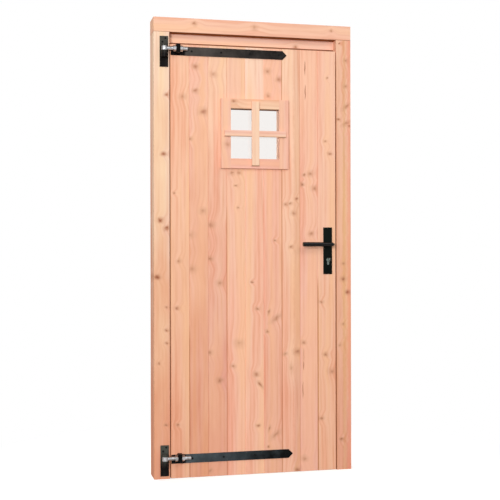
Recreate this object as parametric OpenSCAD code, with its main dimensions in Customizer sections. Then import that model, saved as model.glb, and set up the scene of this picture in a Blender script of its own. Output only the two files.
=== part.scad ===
// Plank door with a small four-light window, hung in its timber frame.
// X runs to the right along the front, Y runs from the front to the back, Z is up.
// The front of the leaf is flush with the front of the frame, and the jambs stand on Z = 0.

/* [Frame] */
// Width over both jambs
frame_w = 940; // [930:1:1030]
// Height from the feet of the jambs to the top of the head
frame_h = 2100; // [2000:1:2300]
// Depth of the jambs and the head
frame_d = 114; // [100:1:140]
// Face width of a jamb
jamb_w = 72; // [62:1:78]
// Face height of the head
head_h = 67; // [56:1:90]
// Height of the tenon on top of each jamb
tenon_h = 40; // [25:1:46]
// Thickness of that tenon
tenon_t = 24; // [18:1:30]
// Shoulder in front of and behind that tenon
tenon_shoulder = 25; // [15:1:35]
// How far the stop laths lap behind the leaf
stop_lap = 12; // [8:1:16]
// Eased lower edge of the head, along its front
head_arris = 2; // [1:0.5:3]
// Thickness of the stop laths, front to back
stop_t = 25; // [20:1:30]
// Height of the rebate along the lower front edge of the head stop, above the leaf
stop_rebate = 15; // [12:1:20]
// Thickness of the lip that the head stop keeps behind that rebate
stop_lip = 8; // [6:1:12]

/* [Leaf] */
// Gap between the leaf and each jamb
side_gap = 4; // [3:0.5:6]
// Gap between the leaf and the floor
floor_gap = 2; // [2:1:12]
// Gap between the leaf and the head, which the head stop covers
head_gap = 55; // [48:1:60]
// Gap between the back of the leaf and the stop laths
stop_gap = 2; // [1:0.5:4]
// Thickness of the front boards
board_t = 20; // [18:1:26]
// Bevel along the front edges of a board
board_bevel = 1.5; // [0.5:0.5:3]
// Length of the tongue on a board
tongue_l = 6; // [4:1:8]
// Thickness of that tongue
tongue_t = 6; // [5:1:8]
// Thickness of the stiles and rails behind the boards
ledge_t = 20; // [18:1:28]
// How much narrower the stiles are than the boards that they lie behind
stile_short = 8; // [4:1:14]
// Width of the rails behind the boards
rail_w = 95; // [90:1:120]
// Distance of the middle rail below the window
rail_below_window = 340; // [300:1:400]
// Width of the diagonal brace
brace_w = 90; // [60:1:110]

/* [Window] */
// Distance of the window's centre below the top of the leaf
window_down = 401; // [380:1:480]
// Width of the strip left beside the window on the boards that it cuts into
window_strip = 6; // [4:1:12]
// Face width of the window surround
surround_w = 45; // [38:1:52]
// Thickness of the window surround
surround_t = 16; // [14:1:24]
// How far the surround covers the edge of the glass
glass_lap = 10; // [9:1:12]
// Thickness of the glass
glass_t = 4; // [3:0.5:6]
// Thickness of the glazing tape in front of the glass
tape_t = 2; // [1:0.5:3]
// Depth of the lip on the front surround
lip_d = 8; // [5:1:8]
// Thickness of the glazing bars planted on the surround
bar_t = 10; // [6:1:14]
// Width of the upright glazing bar
upright_bar_w = 35; // [24:1:44]
// Height of the cross bar
cross_bar_h = 28; // [22:1:40]
// Distance of the cross bar's ends from the surround's outer edge
cross_bar_short = 15; // [6:1:24]
// Distance of the upright bar's ends from the surround's outer edge
upright_bar_short = 12; // [4:1:20]

/* [Hinges] */
// Distance of the hinge pins from the inner edge of the jamb
pin_inset = 25; // [22:1:34]
// Distance of the hinge pins in front of the jamb
pin_out = 21; // [20:1:26]
// Diameter of the hinge pins
pin_d = 16; // [14:1:18]
// Width of a hinge plate
plate_w = 38; // [34:1:44]
// Height of a hinge plate
plate_h = 140; // [136:1:150]
// Thickness of a hinge plate
plate_t = 5; // [4:0.5:6]
// Height of the lug that holds a pin above the eye
lug_h = 8; // [6:1:12]
// Height of the lug below the eye, which carries it
low_lug_h = 31; // [24:1:32]
// Radius of those lugs about the pin
lug_r = 13; // [12:0.5:15]
// Height of the eye that turns on the pin
eye_h = 18.5; // [16:0.5:22]
// Outer radius of that eye
eye_r = 13.5; // [12:0.5:14.5]
// Diameter of the threaded rods
rod_d = 16; // [12:1:16]
// Length of the upper rod from the pin
upper_rod_l = 107; // [100:1:125]
// Length of the lower rod from the pin
lower_rod_l = 119; // [106:1:125]
// Distance from the pin to the upper strap's lug
upper_lug_x = 62; // [58:1:70]
// Distance from the pin to the lower strap's lug
lower_lug_x = 67; // [58:1:72]
// Width across the flats of the adjusting nuts
nut_af = 24; // [20:1:24]
// Thickness of the adjusting nuts
nut_t = 13; // [10:1:14]
// Height of a strap
strap_h = 40; // [36:1:46]
// Thickness of a strap
strap_t = 5; // [4:0.5:6]
// Distance of the first and the lower strap's last screw from the board joint to their left
strap_screw_in = 11; // [10:1:16]
// Distance of the upper strap's last screw from the board joint to its right
strap_screw_back = 15; // [10:1:20]
// Distance from the last screw of a strap to its tip
strap_end = 38; // [30:1:50]
// Length of the point at the end of a strap
strap_tip = 20; // [10:1:30]
// Length of the strap's lug along the rod
strap_lug_l = 18; // [12:1:20]
// Height of the strap's lug
strap_lug_h = 40; // [34:1:46]
// Distance of the upper strap's centre below the top of the leaf
upper_strap_down = 30; // [26:1:44]
// Height of the lower strap's centre above the foot of the leaf
lower_strap_up = 87; // [80:1:100]
// Height of the rods above the centre of the straps
rod_up = 7; // [0:1:10]

/* [Handle and lock] */
// Height of the lever's axis
lever_z = 1066; // [1040:1:1090]
// Distance from the lever's axis to the edge of the leaf
backset = 40; // [38:1:46]
// Distance between the lever's axis and the cylinder's axis
lock_centres = 72; // [72:1:78]
// Width of a handle plate
handle_plate_w = 42; // [38:1:46]
// Height of a handle plate
handle_plate_h = 220; // [215:1:240]
// Thickness of a handle plate
handle_plate_t = 6; // [4:0.5:8]
// Distance of the plate's centre below the lever's axis
handle_plate_drop = 30; // [28:1:36]
// Length of the lever from its axis to the free end
lever_l = 134; // [110:1:145]
// Length of the pointed tail beyond the axis
lever_tail = 22; // [15:1:24]
// Diameter of the lever at its free end
lever_end_d = 21; // [18:0.5:24]
// Diameter of the lever at its axis
lever_hub_d = 19; // [18:0.5:22]
// Diameter of the lever's neck
neck_d = 17; // [15:0.5:17.5]
// Distance of the lever's centre line from the leaf
lever_out = 48; // [42:1:54]
// Side of the square spindle
spindle_s = 8; // [7:1:9]
// Thickness of the lock case
case_t = 16; // [14:1:17]
// Depth of the lock case from the edge of the leaf
case_d = 60; // [58:1:66]
// Space between the lock case and the screws of the handle plates
case_gap = 6.5; // [5:0.5:8]
// How far the forend and the strike plate reach past the lock case
forend_end = 20; // [14:1:26]
// Thickness of the forend and the strike plate
forend_t = 3; // [2:0.5:4]
// Width of the forend and the strike plate
forend_w = 20; // [18:1:22]
// How far the latch reaches out of the forend
latch_out = 12; // [10:0.5:13]
// Thickness of the latch
latch_t = 11; // [9:0.5:11]
// Height of the latch
latch_h = 16; // [14:1:20]
// Thickness of the dead bolt
bolt_t = 9; // [7:0.5:10]
// Height of the dead bolt
bolt_h = 24; // [18:1:26]
// Throw of the dead bolt
bolt_throw = 20; // [14:1:20]
// How far the cylinder stands out of the handle plates
cylinder_out = 3; // [1:0.5:4]
// Diameter of the key's bow
key_bow_d = 24; // [20:1:27]
// Length of the key's blade in the plug
key_blade_l = 24; // [20:1:26]
// Height of the key's blade
key_blade_h = 8; // [7:0.5:8.5]
// Thickness of the key
key_t = 2.2; // [2:0.1:2.6]

/* [Fits] */
// Clearance between pieces of wood that fit together
joint_clear = 0.2; // [0.1:0.1:0.4]
// Clearance around a pin, plug or screw that is a close fit
pin_clear = 0.05; // [0.03:0.01:0.08]
// Clearance between pieces that move past each other
run_clear = 0.4; // [0.3:0.05:0.6]

/* [Hidden] */
$fn = 48;

fir = "#f0bb96";
black_steel = "#2d2f32";
zinc = "#c8c8c4";
nickel = "#b9b8b2";

// Frame
clear_w = frame_w - 2 * jamb_w;
jamb_top = frame_h - head_h;
tenon_d = frame_d - 2 * tenon_shoulder;
front_y = (lever_out + lever_end_d / 2 - frame_d) / 2;
back_y = front_y + frame_d;
frame_mid_y = front_y + frame_d / 2;

// Leaf
board_count = 9;
leaf_x0 = -clear_w / 2 + side_gap;
leaf_x1 = clear_w / 2 - side_gap;
leaf_w = leaf_x1 - leaf_x0;
leaf_z0 = floor_gap;
leaf_z1 = jamb_top - head_gap;
leaf_h = leaf_z1 - leaf_z0;
leaf_t = board_t + ledge_t;
ledge_y = front_y + board_t;
leaf_back_y = front_y + leaf_t;
leaf_mid_y = front_y + leaf_t / 2;
board_pitch = leaf_w / board_count;
stop_y = leaf_back_y + stop_gap;
stile_w = board_pitch - stile_short;
bottom_rail_z = leaf_z0 + lower_strap_up;
top_rail_z = leaf_z1 - rail_w / 2;
cut_half = 1.5 * board_pitch - window_strip;
sight = 2 * (cut_half - glass_lap);
surround_half = sight / 2 + surround_w;
window_z = leaf_z1 - window_down;
middle_rail_z = window_z - surround_half - rail_below_window - rail_w / 2;
brace_z0 = bottom_rail_z + rail_w / 2;
brace_z1 = middle_rail_z - rail_w / 2;
brace_x = leaf_w / 2 - stile_w;
brace_slope = (brace_z1 - brace_z0) / (2 * brace_x);

// Window
tape_y = front_y + lip_d;
glass_y = tape_y + tape_t;
inner_lip_d = board_t - lip_d - tape_t - glass_t;

// Hinges
pin_x = -clear_w / 2 - pin_inset;
pin_y = front_y - pin_out;
pin_r = pin_d / 2;
rod_r = rod_d / 2;
upper_strap_z = leaf_z1 - upper_strap_down;
lower_strap_z = leaf_z0 + lower_strap_up;
upper_rod_z = upper_strap_z + rod_up;
lower_rod_z = lower_strap_z + rod_up;
strap_x0 = leaf_x0 + 2;
strap_first_x = leaf_x0 + board_pitch + strap_screw_in;
upper_strap_last_x = leaf_x0 + 6 * board_pitch - strap_screw_back;
lower_strap_last_x = leaf_x0 + 6 * board_pitch + strap_screw_in;
strap_screw_count = 4;
plate_drop = 12;
plate_holes = [[7, 60], [-7, 43], [7, -36], [-7, -56]];

// Fasteners: radius of the shank, radius of the head
steel_screw = [2.5, 4.6];
small_screw = [2, 4];
plate_screw_l = 35;
strap_screw_l = 36;
screw_cover = 6;
ledge_screw_l = ledge_t + board_t - screw_cover;
window_screw_l = 2 * surround_t + board_t - screw_cover;
edge_screw_l = 30;

// Lock
lock_x = leaf_x1 - backset;
plug_z = lever_z - lock_centres;
handle_plate_z = lever_z - handle_plate_drop;
plate_screw_in = 14;
plate_screw_zs = [for (side = [-1, 1]) handle_plate_z + side * (handle_plate_h / 2 - plate_screw_in)];
case_z0 = plate_screw_zs[0] + steel_screw[0] + case_gap;
case_z1 = plate_screw_zs[1] - steel_screw[0] - case_gap;
forend_z0 = case_z0 - forend_end;
forend_z1 = case_z1 + forend_end;
forend_screw_zs = [forend_z0 + forend_end / 2, forend_z1 - forend_end / 2];
stile_spans = [[leaf_z0, forend_z0], [forend_z1, leaf_z1]];
stile_screw_zs = [for (span = stile_spans) for (share = [0.25, 0.75]) span[0] + share * (span[1] - span[0])];
latch_tail = 20;
bolt_l = 32;
bolt_rest = 0.5;
bolt_over_plug = 19;
bolt_z = plug_z + bolt_over_plug + bolt_h / 2;
strike_clear = 1.5;
cylinder_r = 8.5;
cylinder_tail_r = 5;
cylinder_tail = 19.5;
plug_r = 6.5;
cam_r = 15;
cam_hub_r = 8;
cam_w = 9.6;
cam_tongue = 8;
cam_clear = 0.7;
keyway_t = key_t + run_clear;
keyway_h = key_blade_h + 2 * run_clear;
keyway_l = key_blade_l + 2 * run_clear;
key_neck = 5;
key_hole_r = 3.5;
plate_bevel = 1.5;
cylinder_y0 = front_y - handle_plate_t - cylinder_out;
cylinder_y1 = leaf_back_y + handle_plate_t + cylinder_out;
post_r = 4;
post_l = 14;

// Helpers

// Box between two limits on each axis
module block(x, y, z) {
  translate([x[0], y[0], z[0]])
    cube([x[1] - x[0], y[1] - y[0], z[1] - z[0]]);
}

// Cylinder along +Y from y0 to y1
module rod_y(x, z, y0, y1, r) {
  translate([x, y0, z])
    rotate([-90, 0, 0])
      cylinder(r = r, h = y1 - y0);
}

// Cylinder along +X from x0 to x1
module rod_x(y, z, x0, x1, r) {
  translate([x0, y, z])
    rotate([0, 90, 0])
      cylinder(r = r, h = x1 - x0);
}

// Countersunk screw along +Z, with the top of its head at Z = 0
module screw(kind, l) {
  head_h = kind[1] - kind[0];
  difference() {
    union() {
      cylinder(r1 = kind[1], r2 = kind[0], h = head_h);
      cylinder(r = kind[0], h = l - kind[0]);
      translate([0, 0, l - kind[0]])
        cylinder(r1 = kind[0], r2 = 0.4, h = kind[0]);
    }
    translate([0, 0, -1])
      cylinder(r = kind[0] * 0.7, h = 3, $fn = 6);
  }
}

// Hole for such a screw
module screw_hole(kind, l) {
  head_h = kind[1] - kind[0];
  translate([0, 0, -1])
    cylinder(r = kind[1] + pin_clear, h = 1);
  cylinder(r1 = kind[1] + pin_clear, r2 = kind[0] + pin_clear, h = head_h);
  cylinder(r = kind[0] + pin_clear, h = l + pin_clear);
}

// Turns what points along +Z to point at the back, the front or the right
module to_back() {
  rotate([-90, 0, 0])
    children();
}

module to_front() {
  rotate([90, 0, 0])
    children();
}

module to_right() {
  rotate([0, 90, 0])
    children();
}

module to_left() {
  rotate([0, -90, 0])
    children();
}

// Where the fasteners go

module at_hinge_plate_screws(rod_z) {
  for (hole = plate_holes)
    translate([pin_x + hole[0], front_y - plate_t, rod_z - plate_drop + hole[1]])
      to_back()
        children();
}

module at_strap_screws(strap_z, last_x) {
  step = (last_x - strap_first_x) / (strap_screw_count - 1);
  for (i = [0 : strap_screw_count - 1])
    translate([strap_first_x + i * step, front_y - strap_t, strap_z])
      to_back()
        children();
}

function board_x(i) = leaf_x0 + (i - 0.5) * board_pitch;

// Screws through the rails, the brace and the stiles into the boards
module at_ledge_screws() {
  for (rail_z = [top_rail_z, middle_rail_z, bottom_rail_z])
    for (i = [2 : board_count - 1])
      translate([board_x(i), leaf_back_y, rail_z + (i % 2 == 0 ? 1 : -1) * rail_w / 4])
        to_front()
          children();
  for (i = [3, 5, 7])
    translate([board_x(i), leaf_back_y, (brace_z0 + brace_z1) / 2 + board_x(i) * brace_slope])
      to_front()
        children();
  for (side = [-1, 1])
    for (z = stile_screw_zs)
      translate([side * (leaf_w / 2 - stile_w / 2), leaf_back_y, z])
        to_front()
          children();
}

module at_window_screws() {
  middle = sight / 2 + surround_w / 2;
  for (side = [-1, 1])
    for (end = [-1, 1]) {
      translate([side * middle, ledge_y + surround_t, window_z + end * sight * 0.4])
        to_front()
          children();
      translate([side * sight * 0.28, ledge_y + surround_t, window_z + end * middle])
        to_front()
          children();
    }
}

module at_forend_screws() {
  for (z = forend_screw_zs)
    translate([leaf_x1, leaf_mid_y, z])
      to_left()
        children();
}

module at_strike_screws() {
  for (z = forend_screw_zs)
    translate([clear_w / 2, leaf_mid_y, z])
      to_right()
        children();
}

// Cuts shared by several pieces

module leaf_screw_cuts() {
  at_strap_screws(upper_strap_z, upper_strap_last_x)
    screw_hole(steel_screw, strap_screw_l);
  at_strap_screws(lower_strap_z, lower_strap_last_x)
    screw_hole(steel_screw, strap_screw_l);
  at_ledge_screws()
    screw_hole(small_screw, ledge_screw_l);
}

module window_screw_cuts() {
  at_window_screws()
    screw_hole(small_screw, window_screw_l);
}

// Outline of a profile cylinder, grown by a clearance
module cylinder_outline(grow) {
  circle(r = cylinder_r + grow);
  translate([-cylinder_tail_r - grow, -cylinder_tail])
    square([2 * (cylinder_tail_r + grow), cylinder_tail]);
  translate([0, -cylinder_tail])
    circle(r = cylinder_tail_r + grow);
}

module cylinder_prism(y0, y1, grow) {
  translate([lock_x, y1, plug_z])
    rotate([90, 0, 0])
      linear_extrude(y1 - y0)
        cylinder_outline(grow);
}

// Pocket for the lock, and the holes for the spindle, the cylinder and the plate's posts
module lock_cuts() {
  case_y = [leaf_mid_y - case_t / 2 - joint_clear, leaf_mid_y + case_t / 2 + joint_clear];
  block([leaf_x1 - case_d - joint_clear, leaf_x1 + 1], case_y,
    [case_z0 - joint_clear, case_z1 + joint_clear]);
  forend_y = [leaf_mid_y - forend_w / 2 - joint_clear, leaf_mid_y + forend_w / 2 + joint_clear];
  block([leaf_x1 - forend_t, leaf_x1 + 1], forend_y,
    [forend_z0 - joint_clear, forend_z1 + joint_clear]);
  rod_y(lock_x, lever_z, front_y - 1, leaf_back_y + 1, spindle_s * 0.9);
  cylinder_prism(front_y - 1, leaf_back_y + 1, run_clear);
  for (z = plate_screw_zs)
    rod_y(lock_x, z, front_y - 1, leaf_back_y + 1, post_r + joint_clear);
  at_forend_screws()
    screw_hole(small_screw, edge_screw_l);
}

// Frame pieces

module jamb(side) {
  x = side * (clear_w + jamb_w) / 2;
  block([x - jamb_w / 2, x + jamb_w / 2], [front_y, back_y], [0, jamb_top]);
  block([x - tenon_t / 2, x + tenon_t / 2],
    [frame_mid_y - tenon_d / 2, frame_mid_y + tenon_d / 2], [jamb_top, jamb_top + tenon_h]);
}

module hinge_jamb() {
  color(fir)
    difference() {
      jamb(-1);
      for (rod_z = [upper_rod_z, lower_rod_z])
        at_hinge_plate_screws(rod_z)
          screw_hole(steel_screw, plate_screw_l);
    }
}

module lock_jamb() {
  pocket_x = [clear_w / 2 - 1, clear_w / 2 + max(bolt_throw, latch_out) + 2];
  half_w = forend_w / 2 + joint_clear;
  color(fir)
    difference() {
      jamb(1);
      block([clear_w / 2 - 1, clear_w / 2 + forend_t], [leaf_mid_y - half_w, leaf_mid_y + half_w],
        [forend_z0 - joint_clear, forend_z1 + joint_clear]);
      block(pocket_x, latch_span(strike_clear), latch_height(strike_clear));
      block(pocket_x, bolt_span(strike_clear), bolt_height(strike_clear));
      at_strike_screws()
        screw_hole(small_screw, edge_screw_l);
    }
}

// Limits of the latch and the dead bolt across the leaf and upward, grown by a clearance
function latch_span(grow) = [leaf_mid_y - latch_t / 2 - grow, leaf_mid_y + latch_t / 2 + grow];
function latch_height(grow) = [lever_z - latch_h / 2 - grow, lever_z + latch_h / 2 + grow];
function bolt_span(grow) = [leaf_mid_y - bolt_t / 2 - grow, leaf_mid_y + bolt_t / 2 + grow];
function bolt_height(grow) = [bolt_z - bolt_h / 2 - grow, bolt_z + bolt_h / 2 + grow];

module head() {
  color(fir)
    difference() {
      translate([-frame_w / 2, 0, 0])
        rotate([90, 0, 90])
          linear_extrude(frame_w)
            polygon([[front_y + head_arris, jamb_top], [back_y, jamb_top], [back_y, frame_h],
              [front_y, frame_h], [front_y, jamb_top + head_arris]]);
      for (side = [-1, 1]) {
        x = side * (clear_w + jamb_w) / 2;
        half_t = tenon_t / 2 + joint_clear;
        half_d = tenon_d / 2 + joint_clear;
        block([x - half_t, x + half_t], [frame_mid_y - half_d, frame_mid_y + half_d],
          [jamb_top - 1, jamb_top + tenon_h + joint_clear]);
      }
    }
}

module head_stop() {
  color(fir)
    difference() {
      block([-clear_w / 2, clear_w / 2], [stop_y, stop_y + stop_t], [leaf_z1 - stop_lap, jamb_top]);
      block([-clear_w / 2 - 1, clear_w / 2 + 1], [stop_y - 1, stop_y + stop_t - stop_lip],
        [leaf_z1 - stop_lap - 1, leaf_z1 + stop_rebate]);
    }
}

module side_stop(side) {
  x = side > 0 ? leaf_x1 - stop_lap : -clear_w / 2;
  color(fir)
    block([x, x + side_gap + stop_lap], [stop_y, stop_y + stop_t], [0, leaf_z1 - stop_lap]);
}

module hinge_stop() {
  side_stop(-1);
}

module lock_stop() {
  side_stop(1);
}

module strike_plate() {
  hole_x = [clear_w / 2 - 1, clear_w / 2 + forend_t + 1];
  color(zinc)
    difference() {
      block([clear_w / 2, clear_w / 2 + forend_t],
        [leaf_mid_y - forend_w / 2, leaf_mid_y + forend_w / 2], [forend_z0, forend_z1]);
      block(hole_x, latch_span(strike_clear), latch_height(strike_clear));
      block(hole_x, bolt_span(strike_clear), bolt_height(strike_clear));
      at_strike_screws()
        screw_hole(small_screw, edge_screw_l);
    }
}

module strike_screws() {
  color(zinc)
    at_strike_screws()
      screw(small_screw, edge_screw_l);
}

// Hinges

// Lug of a hinge plate, from the plate round the pin
module pin_lug(z0, z1) {
  block([pin_x - lug_r, pin_x + lug_r], [pin_y, front_y - plate_t], [z0, z1]);
  translate([pin_x, pin_y, z0])
    cylinder(r = lug_r, h = z1 - z0);
}

module hinge_plate(rod_z) {
  plate_z = rod_z - plate_drop;
  eye_half = eye_h / 2 + run_clear;
  color(black_steel)
    difference() {
      union() {
        block([pin_x - plate_w / 2, pin_x + plate_w / 2], [front_y - plate_t, front_y],
          [plate_z - plate_h / 2, plate_z + plate_h / 2]);
        pin_lug(rod_z + eye_half, rod_z + eye_half + lug_h);
        pin_lug(rod_z - eye_half - low_lug_h, rod_z - eye_half);
      }
      translate([pin_x, pin_y, rod_z - plate_h])
        cylinder(r = pin_r + pin_clear, h = 2 * plate_h);
      at_hinge_plate_screws(rod_z)
        screw_hole(steel_screw, plate_screw_l);
    }
}

module upper_hinge_plate() {
  hinge_plate(upper_rod_z);
}

module lower_hinge_plate() {
  hinge_plate(lower_rod_z);
}

// Pin with a flat head on top of the upper lug
module hinge_pin(rod_z) {
  eye_half = eye_h / 2 + run_clear;
  top = eye_half + lug_h;
  foot = eye_half + low_lug_h;
  color(zinc)
    translate([pin_x, pin_y, rod_z]) {
      translate([0, 0, -foot])
        cylinder(r = pin_r, h = foot + top);
      translate([0, 0, top])
        cylinder(r1 = pin_r + 2, r2 = pin_r + 1, h = 2.5);
    }
}

module upper_hinge_pin() {
  hinge_pin(upper_rod_z);
}

module lower_hinge_pin() {
  hinge_pin(lower_rod_z);
}

module hinge_plate_screws() {
  color(black_steel)
    for (rod_z = [upper_rod_z, lower_rod_z])
      at_hinge_plate_screws(rod_z)
        screw(steel_screw, plate_screw_l);
}

// Strap with a pointed end and an upright lug for the rod
module strap(strap_z, last_x, lug_x) {
  strap_l = last_x + strap_end - strap_x0;
  half_h = strap_h / 2;
  rod_z = strap_z + rod_up;
  x = pin_x + lug_x;
  color(black_steel)
    difference() {
      union() {
        translate([strap_x0, front_y, strap_z])
          rotate([90, 0, 0])
            linear_extrude(strap_t)
              polygon([[0, -half_h], [strap_l - strap_tip, -half_h], [strap_l, 0],
                [strap_l - strap_tip, half_h], [0, half_h]]);
        block([x - strap_lug_l / 2, x + strap_lug_l / 2], [pin_y - rod_r - 6, front_y - strap_t],
          [rod_z - strap_lug_h / 2, rod_z + strap_lug_h / 2]);
      }
      rod_x(pin_y, rod_z, x - strap_lug_l, x + strap_lug_l, rod_r + joint_clear);
      at_strap_screws(strap_z, last_x)
        screw_hole(steel_screw, strap_screw_l);
    }
}

module upper_strap() {
  strap(upper_strap_z, upper_strap_last_x, upper_lug_x);
}

module lower_strap() {
  strap(lower_strap_z, lower_strap_last_x, lower_lug_x);
}

// Eye on the pin with a threaded rod
module eye_bolt(rod_z, rod_l) {
  tip = 2;
  color(zinc)
    difference() {
      union() {
        translate([pin_x, pin_y, rod_z - eye_h / 2])
          cylinder(r = eye_r, h = eye_h);
        rod_x(pin_y, rod_z, pin_x, pin_x + rod_l - tip, rod_r);
        translate([pin_x + rod_l - tip, pin_y, rod_z])
          to_right()
            cylinder(r1 = rod_r, r2 = rod_r - tip, h = tip);
      }
      translate([pin_x, pin_y, rod_z - eye_h])
        cylinder(r = pin_r + 2 * pin_clear, h = 2 * eye_h);
    }
}

module upper_eye_bolt() {
  eye_bolt(upper_rod_z, upper_rod_l);
}

module lower_eye_bolt() {
  eye_bolt(lower_rod_z, lower_rod_l);
}

// Hexagon nut along +X from its left face
module nut() {
  to_right()
    difference() {
      intersection() {
        cylinder(r = nut_af / 2 / cos(30), h = nut_t, $fn = 6);
        union() {
          cylinder(r1 = nut_af / 2, r2 = nut_af / 2 + 2, h = 2);
          translate([0, 0, 2])
            cylinder(r = nut_af / 2 + 2, h = nut_t - 4);
          translate([0, 0, nut_t - 2])
            cylinder(r1 = nut_af / 2 + 2, r2 = nut_af / 2, h = 2);
        }
      }
      translate([0, 0, -1])
        cylinder(r = rod_r + pin_clear, h = nut_t + 2);
    }
}

module adjusting_nuts() {
  color(zinc)
    for (hinge = [[upper_rod_z, upper_lug_x], [lower_rod_z, lower_lug_x]])
      for (x = [-strap_lug_l / 2 - nut_t, strap_lug_l / 2])
        translate([pin_x + hinge[1] + x, pin_y, hinge[0]])
          nut();
}

module strap_screws() {
  color(black_steel) {
    at_strap_screws(upper_strap_z, upper_strap_last_x)
      screw(steel_screw, strap_screw_l);
    at_strap_screws(lower_strap_z, lower_strap_last_x)
      screw(steel_screw, strap_screw_l);
  }
}

// Leaf

// Section of board i: bevelled front edges, a groove on the left, a tongue on the right
module board_section(i) {
  x0 = board_x(i) - board_pitch / 2 + (i > 1 ? joint_clear / 2 : 0);
  x1 = board_x(i) + board_pitch / 2 - (i < board_count ? joint_clear / 2 : 0);
  y0 = front_y;
  tongue_y = front_y + board_t / 2;
  difference() {
    union() {
      polygon([[x0, y0 + board_bevel], [x0 + board_bevel, y0], [x1 - board_bevel, y0],
        [x1, y0 + board_bevel], [x1, y0 + board_t], [x0, y0 + board_t]]);
      if (i < board_count)
        translate([x1 - 1, tongue_y - tongue_t / 2])
          square([tongue_l + 1, tongue_t]);
    }
    if (i > 1)
      translate([x0 - 1, tongue_y - tongue_t / 2 - joint_clear])
        square([tongue_l + 1 + joint_clear, tongue_t + 2 * joint_clear]);
  }
}

module board(i) {
  color(fir)
    difference() {
      translate([0, 0, leaf_z0])
        linear_extrude(leaf_h)
          board_section(i);
      leaf_screw_cuts();
      if (abs(i - 5) < 3) {
        block([-cut_half, cut_half], [front_y - 1, ledge_y + 1],
          [window_z - cut_half, window_z + cut_half]);
        window_screw_cuts();
      }
      if (i == board_count)
        lock_cuts();
    }
}

// The middle board is cut in two by the window
module board_5_part(z) {
  intersection() {
    board(5);
    block([-board_pitch, board_pitch], [front_y - 1, ledge_y + 1], z);
  }
}

module board_5_top() {
  board_5_part([window_z, leaf_z1 + 1]);
}

module board_5_bottom() {
  board_5_part([leaf_z0 - 1, window_z]);
}

module stile(side) {
  x = side > 0 ? leaf_x1 - stile_w : leaf_x0;
  block([x, x + stile_w], [ledge_y, leaf_back_y], [leaf_z0, leaf_z1]);
}

module hinge_stile() {
  color(fir)
    difference() {
      stile(-1);
      leaf_screw_cuts();
    }
}

module lock_stile() {
  color(fir)
    difference() {
      stile(1);
      leaf_screw_cuts();
      lock_cuts();
    }
}

module rail(z) {
  color(fir)
    difference() {
      block([-brace_x, brace_x], [ledge_y, leaf_back_y], [z - rail_w / 2, z + rail_w / 2]);
      leaf_screw_cuts();
    }
}

module top_rail() {
  rail(top_rail_z);
}

module middle_rail() {
  rail(middle_rail_z);
}

module bottom_rail() {
  rail(bottom_rail_z);
}

// Rises from the hinge side at the bottom rail to the lock side at the middle rail
module brace() {
  brace_l = frame_h;
  color(fir)
    difference() {
      intersection() {
        block([-brace_x, brace_x], [ledge_y, leaf_back_y], [brace_z0, brace_z1]);
        translate([0, 0, (brace_z0 + brace_z1) / 2])
          rotate([0, -atan(brace_slope), 0])
            block([-brace_l / 2, brace_l / 2], [ledge_y - 1, leaf_back_y + 1], [-brace_w / 2, brace_w / 2]);
      }
      leaf_screw_cuts();
    }
}

module leaf_screws() {
  color(zinc) {
    at_ledge_screws()
      screw(small_screw, ledge_screw_l);
    at_window_screws()
      screw(small_screw, window_screw_l);
    at_forend_screws()
      screw(small_screw, edge_screw_l);
  }
}

// Window

// Upright member on one side, with a lip that reaches into the boards from the face at y_seat
module surround_stile(side, y_face, y_seat, y_lip) {
  x_in = side * sight / 2;
  x_out = side * surround_half;
  x_lip = side * (cut_half - joint_clear);
  lip_half = cut_half - joint_clear;
  color(fir)
    difference() {
      union() {
        block([min(x_in, x_out), max(x_in, x_out)], [min(y_face, y_seat), max(y_face, y_seat)],
          [window_z - surround_half, window_z + surround_half]);
        block([min(x_in, x_lip), max(x_in, x_lip)], [min(y_seat, y_lip), max(y_seat, y_lip)],
          [window_z - lip_half, window_z + lip_half]);
      }
      window_screw_cuts();
    }
}

// Level member between the stiles, with the same lip
module surround_rail(side, y_face, y_seat, y_lip) {
  z_in = window_z + side * sight / 2;
  z_out = window_z + side * surround_half;
  z_lip = window_z + side * (cut_half - joint_clear);
  color(fir)
    difference() {
      union() {
        block([-sight / 2, sight / 2], [min(y_face, y_seat), max(y_face, y_seat)],
          [min(z_in, z_out), max(z_in, z_out)]);
        block([-sight / 2, sight / 2], [min(y_seat, y_lip), max(y_seat, y_lip)],
          [min(z_in, z_lip), max(z_in, z_lip)]);
      }
      window_screw_cuts();
    }
}

module window_stile_left() {
  surround_stile(-1, front_y - surround_t, front_y, tape_y);
}

module window_stile_right() {
  surround_stile(1, front_y - surround_t, front_y, tape_y);
}

module window_rail_top() {
  surround_rail(1, front_y - surround_t, front_y, tape_y);
}

module window_rail_bottom() {
  surround_rail(-1, front_y - surround_t, front_y, tape_y);
}

module inner_stile_left() {
  surround_stile(-1, ledge_y + surround_t, ledge_y, ledge_y - inner_lip_d);
}

module inner_stile_right() {
  surround_stile(1, ledge_y + surround_t, ledge_y, ledge_y - inner_lip_d);
}

module inner_rail_top() {
  surround_rail(1, ledge_y + surround_t, ledge_y, ledge_y - inner_lip_d);
}

module inner_rail_bottom() {
  surround_rail(-1, ledge_y + surround_t, ledge_y, ledge_y - inner_lip_d);
}

module glazing_tape() {
  outer = cut_half - joint_clear;
  color("#3b3b3b")
    difference() {
      block([-outer, outer], [tape_y, glass_y], [window_z - outer, window_z + outer]);
      block([-sight / 2, sight / 2], [tape_y - 1, glass_y + 1],
        [window_z - sight / 2, window_z + sight / 2]);
    }
}

module glass_pane() {
  outer = cut_half - 2 * joint_clear;
  color("#dfe9ea", 0.35)
    block([-outer, outer], [glass_y, glass_y + glass_t], [window_z - outer, window_z + outer]);
}

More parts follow.
